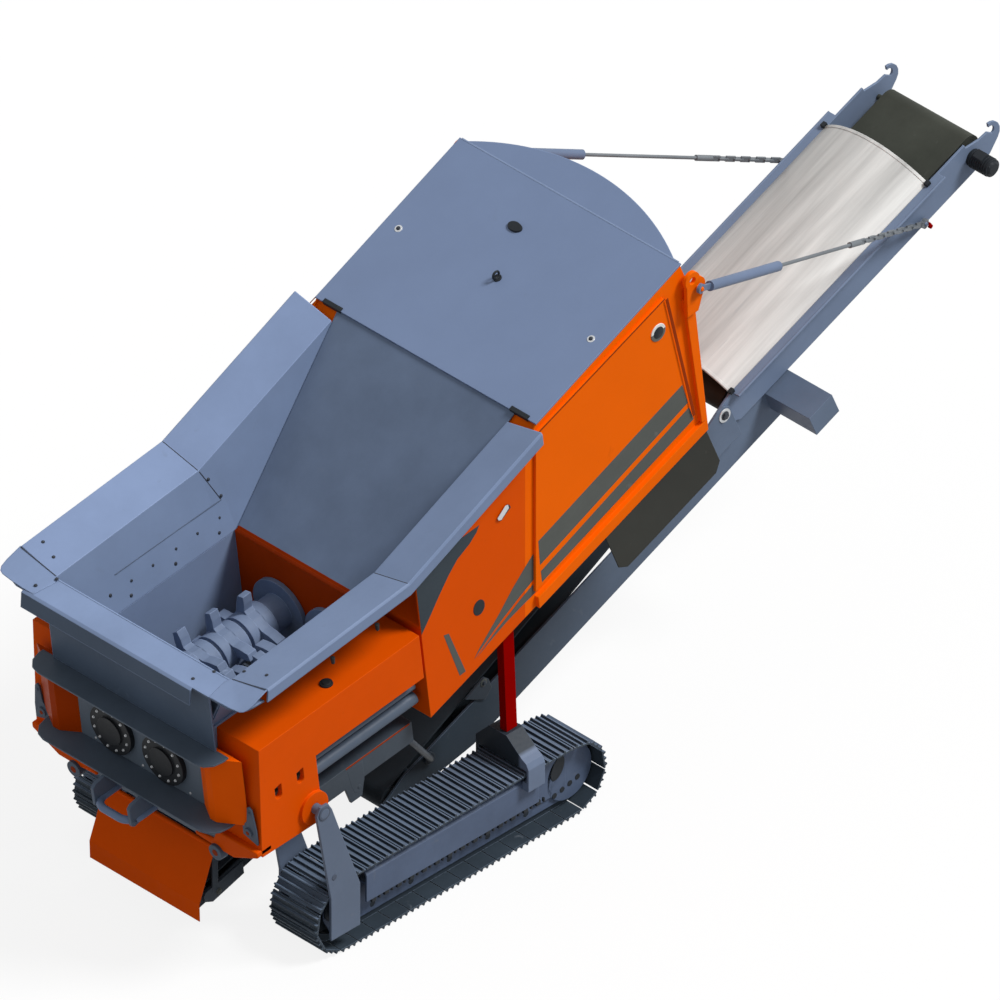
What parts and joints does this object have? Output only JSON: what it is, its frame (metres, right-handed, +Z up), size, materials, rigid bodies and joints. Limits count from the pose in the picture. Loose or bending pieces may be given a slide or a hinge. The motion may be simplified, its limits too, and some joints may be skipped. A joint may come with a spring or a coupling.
{
  "type": "mobile twin-shaft crusher",
  "caption": "Crawler-mounted crusher with toothed shafts in an open hopper, an engine housing and a discharge conveyor that folds up on chain stays.",
  "frame": {"origin": "on the ground under the middle of the machine's overall length and width", "axes": "+X towards the discharge conveyor's head, +Z up, +Y to the left seen from the hopper end"},
  "size_m": [7.6607, 2.284, 3.8869],
  "materials": {
    "steel_blue": "satin blue-grey paint",
    "orange": "satin orange paint",
    "red": "gloss red paint",
    "black": "matt black",
    "track_steel": "worn",
    "rotor_steel": "worn",
    "belt_rubber": "matt",
    "stainless": "polished",
    "stay_steel": "bare"
  },
  "bodies": {
    "machine": {"track_left": "track_steel", "track_wheels_left": "track_steel", "track_frame_left": "steel_blue", "front_stand_left": "steel_blue", "rear_arch_left": "steel_blue", "lift_prop_left": "red", "side_box_left": "orange", "hopper_left": "steel_blue", "track_right": "track_steel", "track_wheels_right": "track_steel", "track_frame_right": "steel_blue", "front_stand_right": "steel_blue", "rear_arch_right": "steel_blue", "lift_prop_right": "red", "side_box_right": "orange", "hopper_right": "steel_blue", "chassis": "steel_blue", "crusher_box": "steel_blue", "front_shelves": "steel_blue", "bearing_covers": "steel_blue", "towing_bail": "steel_blue", "front_corners": "orange", "long_pipes": "steel_blue", "hopper_front": "steel_blue", "hopper_slope": "steel_blue", "hood": "steel_blue", "engine_housing": "steel_blue", "side_skirts": "black", "lifting_lugs": "orange", "conveyor_lower": "steel_blue", "belt_lower": "belt_rubber", "feed_belt": "belt_rubber"},
    "rotor_left": {"rotor_left": "rotor_steel"},
    "rotor_right": {"rotor_right": "rotor_steel"},
    "conveyor": {"conveyor_upper": "steel_blue", "belt_upper": "belt_rubber", "belt_cover": "stainless", "belt_motor": "black"},
    "barrel_left": {"stay_barrel_left": "stay_steel"},
    "barrel_right": {"stay_barrel_right": "stay_steel"},
    "chain_left": {"stay_chain_left": "stay_steel"},
    "chain_right": {"stay_chain_right": "stay_steel"},
    "flap": {"front_flap": "steel_blue"},
    "door_left": {"engine_door_left": "orange"},
    "door_right": {"engine_door_right": "orange"}
  },
  "joints": [
    {"name": "rotor_left_spin", "type": "hinge", "parent": "machine", "child": "rotor_left", "pos_m": [-2.74562, 0.237, 1.55921], "axis": [0.9925, 0, 0.1219], "continuous": true},
    {"name": "rotor_right_spin", "type": "hinge", "parent": "machine", "child": "rotor_right", "pos_m": [-2.74562, -0.237, 1.55921], "axis": [0.9925, 0, 0.1219], "continuous": true},
    {"name": "conveyor_fold", "type": "hinge", "parent": "machine", "child": "conveyor", "pos_m": [1.285, 0, 1.87], "axis": [0, -1, 0], "range_deg": [0, 24]},
    {"name": "stay_barrel_left_swing", "type": "hinge", "parent": "machine", "child": "barrel_left", "pos_m": [0.44947, 1.0943, 3.58369], "axis": [-0.2655, -0.9514, -0.1559], "range_deg": [0, 11.98]},
    {"name": "stay_chain_left_swing", "type": "hinge", "parent": "conveyor", "child": "chain_left", "pos_m": [3.11198, 0.5, 2.48752], "axis": [0.0892, 0.9482, -0.3048], "range_deg": [0, 11.81]},
    {"name": "stay_barrel_right_swing", "type": "hinge", "parent": "machine", "child": "barrel_right", "pos_m": [0.44947, -1.0943, 3.58369], "axis": [0.2655, -0.9514, 0.1559], "range_deg": [0, 11.98]},
    {"name": "stay_chain_right_swing", "type": "hinge", "parent": "conveyor", "child": "chain_right", "pos_m": [3.11198, -0.5, 2.48752], "axis": [-0.0892, 0.9482, 0.3048], "range_deg": [0, 11.81]},
    {"name": "front_flap_swing", "type": "hinge", "parent": "machine", "child": "flap", "pos_m": [-3.36473, 0, 0.8001], "axis": [0, 1, 0], "range_deg": [0, 50]},
    {"name": "engine_door_left_swing", "type": "hinge", "parent": "machine", "child": "door_left", "pos_m": [-0.976, 1.0223, 2.5], "axis": [0, 0, 1], "range_deg": [0, 95]},
    {"name": "engine_door_right_swing", "type": "hinge", "parent": "machine", "child": "door_right", "pos_m": [-0.976, -1.0223, 2.5], "axis": [0, 0, -1], "range_deg": [0, 95]}
  ],
  "couplings": [
    {"joint": "stay_barrel_left_swing", "follows": "conveyor_fold", "ratio": 0.49931},
    {"joint": "stay_chain_left_swing", "follows": "conveyor_fold", "ratio": 0.49207},
    {"joint": "stay_barrel_right_swing", "follows": "conveyor_fold", "ratio": 0.49931},
    {"joint": "stay_chain_right_swing", "follows": "conveyor_fold", "ratio": 0.49207}
  ]
}
